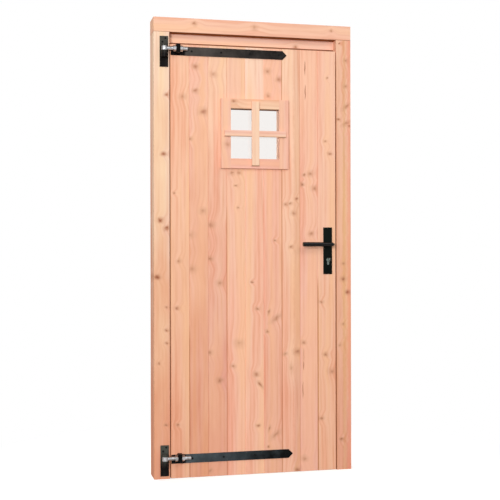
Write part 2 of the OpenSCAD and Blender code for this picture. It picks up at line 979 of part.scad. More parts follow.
// The bars are halved over each other, with the upright bar in front
module upright_bar() {
  y = front_y - surround_t;
  half_l = surround_half - upright_bar_short;
  half_h = cross_bar_h / 2 + joint_clear;
  color(fir)
    difference() {
      block([-upright_bar_w / 2, upright_bar_w / 2], [y - bar_t, y], [window_z - half_l, window_z + half_l]);
      block([-sight, sight], [y - bar_t / 2, y + 1], [window_z - half_h, window_z + half_h]);
    }
}

module cross_bar() {
  y = front_y - surround_t;
  half_l = surround_half - cross_bar_short;
  half_w = upright_bar_w / 2 + joint_clear;
  color(fir)
    difference() {
      block([-half_l, half_l], [y - bar_t, y], [window_z - cross_bar_h / 2, window_z + cross_bar_h / 2]);
      block([-half_w, half_w], [y - bar_t - 1, y - bar_t / 2],
        [window_z - sight, window_z + sight]);
    }
}

// Lock and handle

module lock_case() {
  case_y = [leaf_mid_y - case_t / 2, leaf_mid_y + case_t / 2];
  color(zinc)
    difference() {
      union() {
        block([leaf_x1 - case_d, leaf_x1 - forend_t], case_y, [case_z0, case_z1]);
        block([leaf_x1 - forend_t, leaf_x1],
          [leaf_mid_y - forend_w / 2, leaf_mid_y + forend_w / 2], [forend_z0, forend_z1]);
      }
      rod_y(lock_x, lever_z, front_y, leaf_back_y, spindle_s * 0.8);
      cylinder_prism(front_y, leaf_back_y, joint_clear);
      rod_y(lock_x, plug_z, cam_y(cam_clear)[0], cam_y(cam_clear)[1], cam_r + cam_clear);
      block([leaf_x1 - latch_tail - latch_out - 1, leaf_x1 + 1],
        latch_span(run_clear), latch_height(run_clear));
      block([leaf_x1 - bolt_l - 1.5, leaf_x1 + 1], bolt_span(run_clear), bolt_height(run_clear));
      at_forend_screws()
        screw_hole(small_screw, edge_screw_l);
    }
}

// Latch with its slope on the inner side, which meets the strike plate as the leaf shuts
module latch_bolt() {
  y = latch_span(0);
  x0 = leaf_x1 - latch_tail;
  x1 = leaf_x1 + latch_out;
  color(nickel)
    translate([0, 0, lever_z - latch_h / 2])
      linear_extrude(latch_h)
        polygon([[x0, y[0]], [x1, y[0]], [x1, y[0] + 2], [leaf_x1 + 1, y[1]], [x0, y[1]]]);
}

module dead_bolt() {
  x1 = leaf_x1 - bolt_rest;
  color(nickel)
    block([x1 - bolt_l, x1], bolt_span(0), bolt_height(0));
}

// Plate with bevelled edges, lying on Y = 0 and standing out towards -Y
module bevel_plate(w, t, h, bevel) {
  intersection() {
    translate([0, 0, -h / 2])
      linear_extrude(h)
        polygon([[-w / 2, 0], [-w / 2, bevel - t], [bevel - w / 2, -t], [w / 2 - bevel, -t],
          [w / 2, bevel - t], [w / 2, 0]]);
    rotate([90, 0, 90])
      translate([0, 0, -w / 2])
        linear_extrude(w)
          polygon([[0, -h / 2], [bevel - t, -h / 2], [-t, bevel - h / 2], [-t, h / 2 - bevel],
            [bevel - t, h / 2], [0, h / 2]]);
  }
}

// Holes of a handle plate for the lever's neck and the cylinder
module handle_plate_cuts() {
  rod_y(lock_x, lever_z, front_y - 20, leaf_back_y + 20, neck_d / 2 + run_clear);
  cylinder_prism(front_y - 20, leaf_back_y + 20, joint_clear);
}

// The outside plate carries the posts that the through screws turn into
module outside_plate() {
  color(black_steel)
    difference() {
      union() {
        translate([lock_x, front_y, handle_plate_z])
          bevel_plate(handle_plate_w, handle_plate_t, handle_plate_h, plate_bevel);
        for (z = plate_screw_zs)
          rod_y(lock_x, z, front_y - 1, front_y + post_l, post_r);
      }
      handle_plate_cuts();
      for (z = plate_screw_zs)
        rod_y(lock_x, z, front_y, front_y + post_l + 1, steel_screw[0] + pin_clear);
    }
}

module at_plate_screws() {
  for (z = plate_screw_zs)
    translate([lock_x, leaf_back_y + handle_plate_t, z])
      to_front()
        children();
}

module inside_plate() {
  color(black_steel)
    difference() {
      translate([lock_x, leaf_back_y, handle_plate_z])
        mirror([0, 1, 0])
          bevel_plate(handle_plate_w, handle_plate_t, handle_plate_h, plate_bevel);
      handle_plate_cuts();
      at_plate_screws()
        screw_hole(steel_screw, leaf_t);
    }
}

module plate_screws() {
  color(black_steel)
    at_plate_screws()
      screw(steel_screw, leaf_t + handle_plate_t - 2);
}

// Limits of the keyway and of the cam's slot
function keyway_x() = [lock_x - keyway_t / 2, lock_x + keyway_t / 2];
function keyway_z() = [plug_z - keyway_h / 2, plug_z + keyway_h / 2];
function cam_y(grow) = [leaf_mid_y - cam_w / 2 - grow, leaf_mid_y + cam_w / 2 + grow];

// Double profile cylinder: the outer half takes the plug, the cam turns in the middle slot
module cylinder_body() {
  slot_half = cylinder_r + joint_clear;
  color(nickel)
    difference() {
      cylinder_prism(cylinder_y0, cylinder_y1, 0);
      rod_y(lock_x, plug_z, cylinder_y0 - 1, leaf_mid_y, plug_r + pin_clear);
      block([lock_x - slot_half, lock_x + slot_half], cam_y(cam_clear),
        [plug_z - cam_r - cam_clear, plug_z + slot_half]);
      block(keyway_x(), [cylinder_y1 - keyway_l / 2, cylinder_y1 + 1], keyway_z());
      difference() {
        rod_y(lock_x, plug_z, cylinder_y1 - 1, cylinder_y1 + 1, plug_r + joint_clear);
        rod_y(lock_x, plug_z, cylinder_y1 - 2, cylinder_y1 + 2, plug_r - joint_clear);
      }
    }
}

// Plug with the cam that throws the dead bolt
module cylinder_plug() {
  cam = cam_y(0);
  color(nickel)
    difference() {
      union() {
        rod_y(lock_x, plug_z, cylinder_y0, leaf_mid_y, plug_r);
        rod_y(lock_x, plug_z, cam[0], cam[1], cam_hub_r);
        intersection() {
          rod_y(lock_x, plug_z, cam[0], cam[1], cam_r);
          block([lock_x - cam_r - 1, lock_x], cam_y(1), [plug_z - cam_tongue / 2, plug_z + cam_tongue / 2]);
        }
      }
      block(keyway_x(), [cylinder_y0 - 1, cylinder_y0 + keyway_l], keyway_z());
    }
}

// Key in the plug, with a round bow and a hole for a ring
module key() {
  bow_r = key_bow_d / 2;
  bow_y = cylinder_y0 - key_neck - bow_r;
  key_x = [lock_x - key_t / 2, lock_x + key_t / 2];
  key_cut = key_blade_l / 6;
  color(nickel)
    difference() {
      union() {
        block(key_x, [bow_y, cylinder_y0 + key_blade_l], [plug_z - key_blade_h / 2, plug_z + key_blade_h / 2]);
        translate([key_x[0], bow_y, plug_z])
          to_right()
            cylinder(r = bow_r, h = key_t);
      }
      translate([key_x[0] - 1, bow_y - bow_r + 2 * key_hole_r, plug_z])
        to_right()
          cylinder(r = key_hole_r, h = key_t + 2);
      for (i = [1 : 5])
        block([key_x[0] - 1, key_x[1] + 1],
          [cylinder_y0 + i * key_cut, cylinder_y0 + (i + 0.5) * key_cut],
          [plug_z + key_blade_h / 3 + 0.3 * (i % 3), plug_z + key_blade_h]);
    }
}

// Turned lever: a bar that swells to its free end, a pointed tail and a neck, along -Y from Y = 0
module lever() {
  end_r = lever_end_d / 2;
  hub_r = lever_hub_d / 2;
  difference() {
    union() {
      translate([0, -lever_out, 0])
        to_right()
          rotate_extrude()
            polygon([[0, -lever_l], [end_r - 1.5, -lever_l], [end_r, 1.5 - lever_l], [hub_r, 0],
              [hub_r, lever_tail - 12], [0, lever_tail]]);
      translate([0, -lever_out, 0])
        to_back()
          cylinder(r = neck_d / 2, h = lever_out - 1);
    }
    half_s = spindle_s / 2 + joint_clear / 2;
    block([-half_s, half_s], [4 - lever_out, 1], [-half_s, half_s]);
  }
}

module outside_lever() {
  color(black_steel)
    translate([lock_x, front_y, lever_z])
      lever();
}

module inside_lever() {
  color(black_steel)
    translate([lock_x, leaf_back_y, lever_z])
      mirror([0, 1, 0])
        lever();
}

module spindle() {
  half_s = spindle_s / 2;
  color(zinc)
    block([lock_x - half_s, lock_x + half_s], [front_y + 4 - lever_out, leaf_back_y - 4 + lever_out],
      [lever_z - half_s, lever_z + half_s]);
}

hinge_jamb();
lock_jamb();
head();
head_stop();
hinge_stop();
lock_stop();
upper_hinge_plate();
lower_hinge_plate();
upper_hinge_pin();
lower_hinge_pin();
hinge_plate_screws();
strike_plate();
strike_screws();
board(1);  // board_1
board(2);  // board_2
board(3);  // board_3
board(4);  // board_4
board_5_top();
board_5_bottom();
board(6);  // board_6
board(7);  // board_7
board(8);  // board_8
board(9);  // board_9
hinge_stile();
lock_stile();
top_rail();
middle_rail();
bottom_rail();
brace();
window_stile_left();
window_stile_right();
window_rail_top();
window_rail_bottom();
inner_stile_left();
inner_stile_right();
inner_rail_top();
inner_rail_bottom();
glazing_tape();
glass_pane();
upright_bar();
cross_bar();
upper_strap();
lower_strap();
upper_eye_bolt();
lower_eye_bolt();
adjusting_nuts();
strap_screws();
leaf_screws();
lock_case();
outside_plate();
inside_plate();
plate_screws();
cylinder_body();
outside_lever();
inside_lever();
spindle();
latch_bolt();
dead_bolt();
cylinder_plug();
key();
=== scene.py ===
import math

import bmesh
import bpy
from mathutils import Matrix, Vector

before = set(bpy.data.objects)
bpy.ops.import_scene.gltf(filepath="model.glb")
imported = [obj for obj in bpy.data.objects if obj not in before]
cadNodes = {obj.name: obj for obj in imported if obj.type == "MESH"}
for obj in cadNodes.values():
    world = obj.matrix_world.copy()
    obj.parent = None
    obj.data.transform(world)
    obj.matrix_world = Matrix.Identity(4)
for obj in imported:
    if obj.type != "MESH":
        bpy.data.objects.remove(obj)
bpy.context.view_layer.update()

mmPerM = 1000  # sizes named Mm, and places in the looks, are in millimetres
print("door loaded:", len(cadNodes), "pieces from the CAD")


# sRGB hex to linear light
def hexColor(text, alpha=1.0):
    channels = [int(text[i:i + 2], 16) / 255 for i in (1, 3, 5)]
    linear = [c / 12.92 if c <= 0.04045 else ((c + 0.055) / 1.055) ** 2.4 for c in channels]
    return (*linear, alpha)


white = hexColor("#ffffff")


# settings are properties or socket values, links go from an output to a socket
def addNode(tree, kind, settings=None, links=None):
    node = tree.nodes.new(kind)
    for key, value in (settings or {}).items():
        if key == "stops":  # colour ramp: (place, hex, alpha)
            ramp = node.color_ramp.elements
            while len(ramp) < len(value):
                ramp.new(0.5)
            for stop, (place, text, alpha) in zip(ramp, value):
                stop.position = place
                stop.color = hexColor(text, alpha)
        elif isinstance(key, str) and hasattr(node, key):
            setattr(node, key, value)
        else:
            node.inputs[key].default_value = value
    for key, output in (links or {}).items():
        tree.links.new(output, node.inputs[key])
    return node


def newMaterial(name):
    material = bpy.data.materials.new(name)
    material.use_nodes = True
    tree = material.node_tree
    tree.nodes.clear()
    shader = addNode(tree, "ShaderNodeBsdfPrincipled")
    addNode(tree, "ShaderNodeOutputMaterial", links={"Surface": shader.outputs[0]})
    return material, tree, shader


def dress(material, *names):
    for name in names:
        for slot in cadNodes[name].material_slots:
            slot.material = material


# Planed Douglas fir: pale peach early wood with thin darker late wood, satin from the planer
firGrain = {
    "toneFromM": 0.15,     # a board has its low tone up to here
    "toneToM": 1.85,       # and its high tone from here on
    "patchMm": 85,         # sapwood and heartwood patches
    "patchStretch": 0.3,   # along the grain against across it
    "streakMm": 9,         # late wood lines, drawn wider than the real 3 mm so that they show
    "bandMm": 62,          # slow change of tone across a board
    "ringMm": 21,          # flat-sawn ring pattern
    "wavePeriodMm": 314,   # how often a wave texture of scale 1 repeats
    "stretch": 0.05,       # of streaks, bands and rings
    "streakWeight": 0.9,   # against the bands
    "ringWeight": 0.22,
    "toRamp": 0.47,        # brings the sum of the three to the ramp's range
    "wobbleMm": 8,         # knots and cracks are never quite round
    "wobbleEveryMm": 22.222,
    "midWood": "#fbf7f4",
    "lateWood": "#edd8cb",
    "sapwood": "#fffced",
    "heartwood": "#fff4f2",
    "roughFrom": (0.7, 1.5),  # the grain's range
    "roughness": (0.52, 0.68),
    "bumpMm": 0.5,
    "bumpStrength": 0.5,
    "sheen": 0.1,          # open fibres reflect little
    "ior": 1.5,
}
# Knots: red-brown, paler outwards, and the grain runs aside round them
firKnot = {
    "roundReach": (3.2, 2.6),  # across and up, in radii
    "slantReach": (1.5, 4.0),  # a branch that was cut along its length
    "throughM": 1000,          # knots go right through the wood, so the depth hardly counts
    "pushReach": 2.4,          # how far off the grain still runs aside, in halos
    "pushMm": 18,
    "swell": 0.5,              # stands up a little after planing
    "colors": [(0.0, "#92583e", 1), (0.18, "#ae7254", 0.95), (0.36, "#c18668", 0.8),
               (0.6, "#cc9575", 0.35), (1.0, "#d6a385", 0)],
}
# Drying cracks: long, thin, and straighter than the edge of a knot
firCrack = {
    "wobbleShare": 0.3,
    "colors": [(0.0, "#9a5638", 0.9), (0.7, "#a9654a", 0.7), (1.0, "#c88a6a", 0)],
}
# Painted shade in seams, tight or open, and on undersides that hardly any light reaches,
# some seams painted lighter instead, and stripes of another tone
firShade = {
    "seam": (0.72, 1.04, 1.38),   # red, green and blue lost to a seam's painted shade, so that it is brown
    "paintedUnder": (0.85, 1.0, 1.15),
    "seamMm": (1, 4),             # full up to the first distance, gone at the second
    "seamFadeMm": 80,             # how softly a seam ends at its top
    "stripeCore": 0.3,            # share of a stripe's half width that has its full tone
}


# the least of several distances, or nothing
def nearest(tree, distances):
    least = None
    for away in distances:
        if least:
            away = addNode(tree, "ShaderNodeMath", {"operation": "MINIMUM"},
                           {0: least, 1: away}).outputs[0]
        least = away
    return least


# distance from a knot, 0 in its middle and 1 where its halo ends
def knotDistance(tree, place, x, z, radius, pale, slant=None):
    wide, tall = firKnot["roundReach"] if slant is None else firKnot["slantReach"]
    spot = addNode(tree, "ShaderNodeMapping",
                   {"vector_type": "TEXTURE", "Location": (x / mmPerM, 0, z / mmPerM),
                    "Rotation": (0, math.radians(slant or 0), 0),
                    "Scale": (radius * wide / mmPerM, firKnot["throughM"], radius * tall / mmPerM)},
                   {"Vector": place}).outputs[0]
    away = addNode(tree, "ShaderNodeVectorMath", {"operation": "LENGTH"}, {0: spot})
    away = away.outputs["Value"]
    if pale:
        away = addNode(tree, "ShaderNodeMath", {"operation": "MULTIPLY_ADD", 1: 1 - pale, 2: pale},
                       {0: away}).outputs[0]
    return away


# distance from a crack, 1 at its edge
def crackDistance(tree, place, x, z, width, length):
    line = addNode(tree, "ShaderNodeMapping",
                   {"Location": (-x / width, 0, -z / length),
                    "Scale": (mmPerM / width, 0, mmPerM / length)}, {"Vector": place}).outputs[0]
    away = addNode(tree, "ShaderNodeVectorMath", {"operation": "LENGTH"}, {0: line})
    return away.outputs["Value"]


# distance from an upright line, in metres
def lineDistance(tree, across, x):
    away = addNode(tree, "ShaderNodeMath", {"operation": "SUBTRACT", 1: x / mmPerM}, {0: across})
    away = addNode(tree, "ShaderNodeMath", {"operation": "ABSOLUTE"}, {0: away.outputs[0]})
    return away.outputs[0]


# (tint, share of the wood's own light) for painted seam and underside shade, and for stripes
def firShades(tree, look, across, height, uneven):
    shades = []
    full, gone = [size / mmPerM for size in firShade["seamMm"]]
    # painted shade along a seam, painted light where dark is below 0, gone above its top
    for x, dark, top in look.get("paintedSeams", []):
        edge = addNode(tree, "ShaderNodeMapRange", {"From Min": full, "From Max": gone},
                       {"Value": lineDistance(tree, across, x)}).outputs[0]
        over = addNode(tree, "ShaderNodeMapRange",
                       {"From Min": (top - firShade["seamFadeMm"]) / mmPerM,
                        "From Max": top / mmPerM}, {"Value": height}).outputs[0]
        lit = addNode(tree, "ShaderNodeMath", {"operation": "MAXIMUM"}, {0: edge, 1: over})
        shades.append(((*[1 - dark * part for part in firShade["seam"]], 1), lit.outputs[0]))
    # painted shade on an underside, where hardly any light reaches
    for z, dark, fade in look.get("paintedUnder", []):
        lit = addNode(tree, "ShaderNodeMapRange",
                      {"From Min": z / mmPerM, "From Max": (z + fade) / mmPerM}, {"Value": height})
        shades.append(((*[1 - dark * part for part in firShade["paintedUnder"]], 1), lit.outputs[0]))
    for x, half, tint in look.get("stripes", []):
        wavy = addNode(tree, "ShaderNodeSeparateXYZ", links={0: uneven}).outputs["X"]
        lit = addNode(tree, "ShaderNodeMapRange",
                      {"interpolation_type": "SMOOTHSTEP",
                       "From Min": half * firShade["stripeCore"] / mmPerM,
                       "From Max": half / mmPerM}, {"Value": lineDistance(tree, wavy, x)})
        shades.append((hexColor(tint), lit.outputs[0]))
    return shades


def douglasFir(name, look):
    material, tree, shader = newMaterial("douglas_fir_" + name)
    place = addNode(tree, "ShaderNodeTexCoord").outputs["Object"]
    spot = addNode(tree, "ShaderNodeSeparateXYZ", links={0: place}).outputs
    across, height = spot["X"], spot["Z"]
    seed = look["seed"]

    # tone from the foot of the door to its head, in soft patches
    # the darker foot is partly the wood's own tone and partly painted shade, as the light falls off
    # downward
    share = addNode(tree, "ShaderNodeMapRange",
                    {"From Min": firGrain["toneFromM"], "From Max": firGrain["toneToM"]},
                    {"Value": height}).outputs[0]
    flat = addNode(tree, "ShaderNodeMapping",
                   {"Location": (seed, seed, seed), "Scale": (1, 1, firGrain["patchStretch"])},
                   {"Vector": place}).outputs[0]
    patch = addNode(tree, "ShaderNodeTexNoise",
                    {"Scale": mmPerM / firGrain["patchMm"], "Detail": 2},
                    {"Vector": flat}).outputs[0]
    share = addNode(tree, "ShaderNodeMath", {"operation": "ADD"}, {0: share, 1: patch}).outputs[0]
    share = addNode(tree, "ShaderNodeMath", {"operation": "SUBTRACT", 1: 0.5, "use_clamp": True},
                    {0: share}).outputs[0]
    tone = addNode(tree, "ShaderNodeMix",
                   {"data_type": "RGBA", 6: hexColor(look["low"]), 7: hexColor(look["high"])},
                   {0: share}).outputs[2]

    # a wobble to both sides keeps knots and stripes from being drawn with a ruler
    wobble = firGrain["wobbleMm"] / mmPerM
    shake = addNode(tree, "ShaderNodeTexNoise",
                    {"Scale": mmPerM / firGrain["wobbleEveryMm"], "Detail": 2}, {"Vector": place})
    shift = addNode(tree, "ShaderNodeVectorMath",
                    {"operation": "MULTIPLY_ADD", 1: (2 * wobble,) * 3, 2: (-wobble,) * 3},
                    {0: shake.outputs["Color"]}).outputs[0]
    uneven = addNode(tree, "ShaderNodeVectorMath", {"operation": "ADD"},
                     {0: place, 1: shift}).outputs[0]
    nearKnot = nearest(tree, [knotDistance(tree, uneven, *knot) for knot in look.get("knots", [])])

    # grain coordinates: turned to run along the piece, pushed aside round the knots
    turned = addNode(tree, "ShaderNodeMapping",
                     {"Rotation": (0, math.radians(-look.get("lean", 0)), 0),
                      "Location": (seed * 1.7, seed * 0.9, seed * 2.3)},  # no two pieces alike
                     {"Vector": place}).outputs[0]
    if nearKnot:
        push = addNode(tree, "ShaderNodeMapRange",
                       {"interpolation_type": "SMOOTHSTEP", "From Max": firKnot["pushReach"],
                        "To Min": firKnot["pushMm"] / mmPerM, "To Max": 0.0}, {"Value": nearKnot})
        aside = addNode(tree, "ShaderNodeCombineXYZ", links={"X": push.outputs[0]})
        turned = addNode(tree, "ShaderNodeVectorMath", {"operation": "ADD"},
                         {0: turned, 1: aside.outputs[0]}).outputs[0]
    drawn = addNode(tree, "ShaderNodeMapping", {"Scale": (1, 1, firGrain["stretch"])},
                    {"Vector": turned}).outputs[0]
    streaks = addNode(tree, "ShaderNodeTexNoise",
                      {"Scale": mmPerM / firGrain["streakMm"], "Detail": 3, "Roughness": 0.6},
                      {"Vector": drawn}).outputs[0]
    bands = addNode(tree, "ShaderNodeTexNoise",
                    {"Scale": mmPerM / firGrain["bandMm"], "Detail": 2},
                    {"Vector": drawn}).outputs[0]
    rings = addNode(tree, "ShaderNodeTexWave",
                    {"Scale": firGrain["wavePeriodMm"] / firGrain["ringMm"], "Distortion": 7,
                     "Detail": 2, "Detail Scale": 1.6}, {"Vector": drawn}).outputs[1]
    mixed = addNode(tree, "ShaderNodeMath",
                    {"operation": "MULTIPLY_ADD", 1: firGrain["streakWeight"]},
                    {0: streaks, 2: bands}).outputs[0]
    grain = addNode(tree, "ShaderNodeMath",
                    {"operation": "MULTIPLY_ADD", 1: firGrain["ringWeight"]},
                    {0: rings, 2: mixed}).outputs[0]

    # late wood darkens the tone, and the bands blush it
    level = addNode(tree, "ShaderNodeMath", {"operation": "MULTIPLY", 1: firGrain["toRamp"]},
                    {0: grain}).outputs[0]
    late = addNode(tree, "ShaderNodeValToRGB",
                   {"stops": [(0.34, "#ffffff", 1), (0.5, firGrain["midWood"], 1),
                              (0.72, firGrain["lateWood"], 1)]}, {0: level}).outputs[0]
    blush = addNode(tree, "ShaderNodeValToRGB",
                    {"stops": [(0.36, firGrain["sapwood"], 1), (0.5, "#ffffff", 1),
                               (0.64, firGrain["heartwood"], 1)]}, {0: bands}).outputs[0]
    color = tone
    for layer in (late, blush):
        color = addNode(tree, "ShaderNodeMix",
                        {"data_type": "RGBA", "blend_type": "MULTIPLY", 0: 1.0},
                        {6: color, 7: layer}).outputs[2]
    rough = addNode(tree, "ShaderNodeMapRange",
                    {"From Min": firGrain["roughFrom"][0], "From Max": firGrain["roughFrom"][1],
                     "To Min": firGrain["roughness"][0], "To Max": firGrain["roughness"][1]},
                    {"Value": grain}).outputs[0]
    relief = grain

    if nearKnot:
        knot = addNode(tree, "ShaderNodeValToRGB", {"stops": firKnot["colors"]}, {0: nearKnot})
        color = addNode(tree, "ShaderNodeMix", {"data_type": "RGBA"},
                        {0: knot.outputs[1], 6: color, 7: knot.outputs[0]}).outputs[2]
        relief = addNode(tree, "ShaderNodeMath",
                         {"operation": "MULTIPLY_ADD", 1: firKnot["swell"]},
                         {0: knot.outputs[1], 2: relief}).outputs[0]

    if "cracks" in look:
        straight = addNode(tree, "ShaderNodeVectorMath",
                           {"operation": "MULTIPLY_ADD", 1: (firCrack["wobbleShare"],) * 3},
                           {0: shift, 2: place}).outputs[0]
        split = nearest(tree, [crackDistance(tree, straight, *crack) for crack in look["cracks"]])
        dark = addNode(tree, "ShaderNodeValToRGB", {"stops": firCrack["colors"]}, {0: split})
        color = addNode(tree, "ShaderNodeMix", {"data_type": "RGBA"},
                        {0: dark.outputs[1], 6: color, 7: dark.outputs[0]}).outputs[2]
        relief = addNode(tree, "ShaderNodeMath", {"operation": "SUBTRACT"},
                         {0: relief, 1: dark.outputs[1]}).outputs[0]

    # the painted shade and light of seams and undersides, and the stripes' tone, multiply the
    # colour
    for tint, lit in firShades(tree, look, across, height, uneven):
        light = addNode(tree, "ShaderNodeMix", {"data_type": "RGBA", 6: tint, 7: white}, {0: lit})
        color = addNode(tree, "ShaderNodeVectorMath", {"operation": "MULTIPLY"},
                        {0: color, 1: light.outputs[2]}).outputs[0]

    bump = addNode(tree, "ShaderNodeBump",
                   {"Strength": firGrain["bumpStrength"], "Distance": firGrain["bumpMm"] / mmPerM},
                   {"Height": relief})
    tree.links.new(color, shader.inputs["Base Color"])
    tree.links.new(rough, shader.inputs["Roughness"])
    tree.links.new(bump.outputs[0], shader.inputs["Normal"])
    shader.inputs["IOR"].default_value = firGrain["ior"]
    shader.inputs["Specular IOR Level"].default_value = look.get("sheen", firGrain["sheen"])
    return material


# high and low are the tones at head and foot, seed shifts the pattern, lean turns the grain from
# upright in degrees, and sheen is given where it differs; lengths and places are in mm:
# knots (x, z, radius, how pale from 0 to 1, and for one cut lengthways its slant in degrees),
# cracks (x, z, half width, half length), stripes (x, half width, tone to multiply by),
# painted shade in seams (x, how dark, or below 0 how much painted light, up to which height),
# painted shade under edges (lower edge, how dark, height of the shade)
boardLooks = {
    "board_1": {
        "high": "#fac9aa", "low": "#f0b99a", "seed": 1,
        "paintedSeams": [(-394, 0.3, 2000), (-306.4, 0.35, 700)],
        "knots": [(-337, 1740, 9, 0.38), (-377, 1300, 4, 0.14), (-356, 990, 7, 0.26),
                  (-363, 775, 6, 0.14), (-363, 243, 5, 0.14)],
    },
    "board_2": {
        "high": "#f9c7af", "low": "#e6a589", "seed": 2,
        "paintedSeams": [(-306.4, 0.35, 700)],
        "knots": [(-277, 1880, 9, 0.22), (-277, 1770, 8, 0.22), (-240, 1675, 12, 0.22),
                  (-305, 1549, 7, 0.3), (-244, 1219, 10, 0.38), (-305, 1109, 12, 0.42),
                  (-296, 953, 12, 0.38)],
    },
    "board_3": {
        "high": "#faceb1", "low": "#eaab96", "seed": 3,
        "paintedSeams": [(-131.3, 0.26, 1250)],
        "knots": [(-193, 1847, 9, 0.38), (-207, 1155, 11, 0.3), (-212, 1001, 8, 0.22),
                  (-165, 888, 9, 0.3), (-213, 570, 8, 0.26), (-165, 440, 9, 0.18),
                  (-212, 27, 8, 0.3)],
    },
    "board_4": {
        "high": "#f8c9af", "low": "#fac1a8", "seed": 4,
        "paintedSeams": [(-131.3, 0.26, 1250), (-43.8, -0.1, 2000)],
        "knots": [(-108, 1397, 8, 0.26), (-75, 1397, 7, 0.3), (-89, 1337, 4, 0.14),
                  (-79, 1235, 4, 0.22), (-75, 609, 13, 0.46), (-103, 503, 7, 0.26)],
    },
    "board_5_top": {
        "high": "#fdd8c2", "low": "#f7bea4", "seed": 5,
        "paintedSeams": [(-43.8, -0.1, 2000), (43.8, -0.1, 2000)],
    },
    "board_5_bottom": {
        "high": "#f9c9af", "low": "#fac5aa", "seed": 5,
        "paintedSeams": [(-43.8, -0.1, 2000), (43.8, -0.1, 2000)],
        "knots": [(6, 463, 8, 0.22), (25, 415, 9, 0.1, -40), (-13, 891, 4, 0.14),
                  (14, 768, 6, 0.22), (16, 225, 6, 0.18)],
    },
    "board_6": {
        "high": "#fbc5ad", "low": "#f1b79c", "seed": 6,
        "paintedSeams": [(43.8, -0.1, 2000), (131.3, 0.3, 2000)],
        "knots": [(64, 1872, 9, 0.3), (118, 1836, 9, 0.26), (64, 1755, 9, 0.3),
                  (98, 1084, 4, 0.14), (68, 752, 6, 0.2, 15), (103, 722, 14, 0.3, 55),
                  (60, 662, 5, 0.22), (101, 180, 14, 0.3, 50), (69, 209, 7, 0.2, 15),
                  (64, 125, 4, 0.14)],
    },
    "board_7": {
        "high": "#fdd3b6", "low": "#f7c0a5", "seed": 7,
        "paintedSeams": [(131.3, 0.3, 2000), (218.9, 0.12, 2000)],
        "stripes": [(206, 26, "#f4eeec")],
        "knots": [(202, 1280, 5, 0.18), (151, 1253, 6, 0.26), (171, 1256, 6, 0.22),
                  (188, 1212, 8, 0.3), (176, 1054, 6, 0.22), (205, 563, 10, 0.22),
                  (176, 486, 10, 0.4, 0), (145, 553, 6, 0.3), (205, 10, 9, 0.22)],
    },
    "board_8": {
        "high": "#fdcbae", "low": "#f6bcaa", "seed": 8,
        "paintedSeams": [(218.9, 0.12, 2000), (306.4, 0.5, 920)],
        "knots": [(239, 1393, 5, 0.14), (270, 1399, 9, 0.26), (228, 1348, 6, 0.14),
                  (290, 1328, 9, 0.26), (274, 1116, 8, 0.26), (236, 605, 7, 0.22),
                  (239, 61, 9, 0.34)],
        "cracks": [(244.5, 1893, 3.0, 40), (246, 1780, 3.0, 42), (235.5, 498, 2.4, 26),
                   (232, 383, 2.4, 48), (236, 545, 1.5, 40)],
    },
    "board_9": {
        "high": "#fcccb3", "low": "#f6c0a0", "seed": 9,
        "paintedSeams": [(306.4, 0.5, 920)],
        "knots": [(343, 1552, 5, 0.22), (368, 1495, 6, 0.18), (353, 1850, 4, 0.18),
                  (323, 794, 6, 0.22), (343, 546, 7, 0.18), (374, 467, 10, 0.3),
                  (323, 246, 7, 0.18)],
    },
}

frameLooks = {
    "hinge_jamb": {
        "high": "#fadbc3", "low": "#e7a489", "seed": 11, "sheen": 0.0,
        "knots": [(-425, 1477, 7, 0.05), (-409, 1747, 6, 0.1), (-414, 779, 4, 0.2),
                  (-413, 675, 5, 0.1), (-413, 616, 5, 0.1), (-448, 525, 4, 0.2),
                  (-416, 245, 5, 0.1), (-441, 1176, 8, 0), (-411, 1140, 8, 0.05),
                  (-455, 917, 9, 0)],
    },
    "lock_jamb": {
        "high": "#f5c5a8", "low": "#edb195", "seed": 12,
        "paintedSeams": [(398, 0.35, 1975)],
        "stripes": [(437, 10, "#f8f8ea"), (462, 13, "#ffeced")],
        "knots": [(446, 1937, 7, 0.3), (445, 1816, 7, 0.3), (450, 1721, 11, 0.25, 50),
                  (448, 1640, 11, 0.3, 60), (462, 1630, 6, 0.2), (407, 1657, 6, 0.1),
                  (432, 902, 8, 0.1), (455, 840, 8, 0.05), (433, 975, 6, 0.3), (430, 689, 5, 0.3),
                  (417, 589, 6, 0.35), (422, 142, 6, 0.1), (415, 2017, 3, 0)],
    },
    "head": {
        "high": "#facab0", "low": "#facab0", "seed": 13, "lean": 90, "sheen": 0.0,
        "paintedUnder": [(2033.1, 0.7, 3)],
        "knots": [(-282, 2076, 7, 0.2), (2, 2072, 9, 0.4), (373, 2075, 5, 0.25)],
    },
    "head_stop": {
        "high": "#facfbb", "low": "#facfbb", "seed": 14, "lean": 90,
        "paintedUnder": [(1993.1, 0.45, 1)],
        "knots": [(210, 2000, 7, 0.2)],
    },
    "hinge_stop": {
        "high": "#f8c2a0", "low": "#e6a988", "seed": 15,
        "knots": [(-398, 1250, 7, 0.1)],
    },
    "lock_stop": {
        "high": "#f8c2a0", "low": "#e6a988", "seed": 16,
        "knots": [(398, 820, 7, 0.1)],
    },
}

